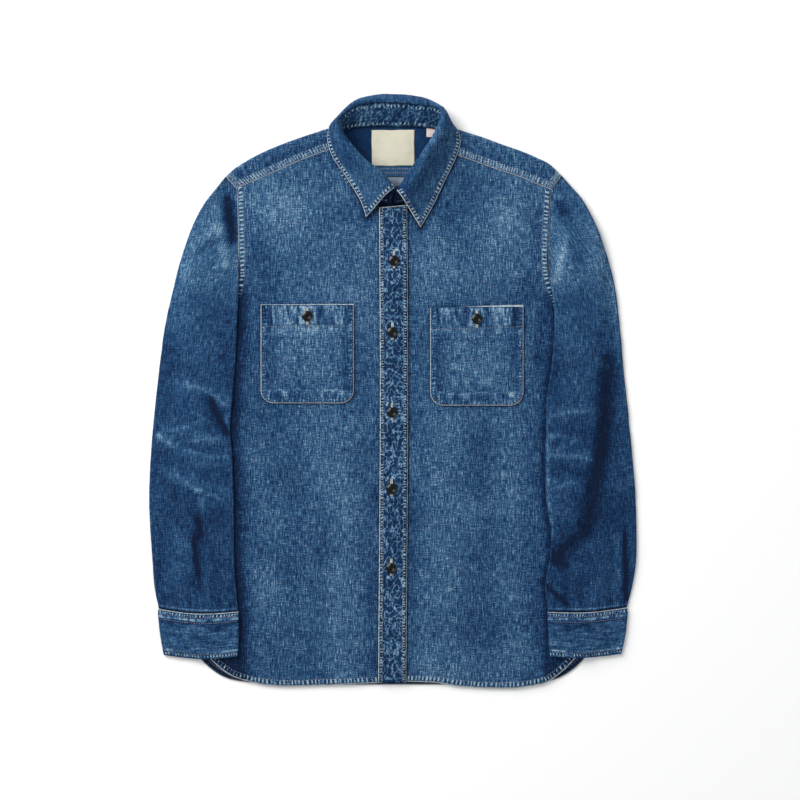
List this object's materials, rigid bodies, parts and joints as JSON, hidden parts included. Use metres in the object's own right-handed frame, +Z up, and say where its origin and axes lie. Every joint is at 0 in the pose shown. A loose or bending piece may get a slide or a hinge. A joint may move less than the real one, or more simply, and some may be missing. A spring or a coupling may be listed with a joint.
{
  "type": "denim shirt",
  "caption": "Long-sleeved denim work shirt laid flat, buttoned, with pointed collar, patch chest pockets and curved hem.",
  "frame": {"origin": "middle of the shirt's box on the surface that it lies on", "axes": "+Z up from the surface, +Y from the hem to the collar, +X to the wearer's left"},
  "size_m": [0.6331, 0.771, 0.0286],
  "materials": {
    "denim": "washed twill, matt",
    "button": "glossy",
    "label": "woven, matt"
  },
  "bodies": {
    "root": {"back_panel": "denim", "back_yoke": "denim", "front_right": "denim", "front_left": "denim", "sleeve_right": "denim", "sleeve_left": "denim", "cuff_right": "denim", "cuff_left": "denim", "collar_stand": "denim", "collar_leaf": "denim", "pocket_right": "denim", "pocket_left": "denim", "placket": "denim", "front_button_1": "button", "front_button_2": "button", "front_button_3": "button", "front_button_4": "button", "front_button_5": "button", "pocket_right_button": "button", "pocket_left_button": "button", "neck_label": "label", "care_tag": "label"}
  },
  "joints": []
}
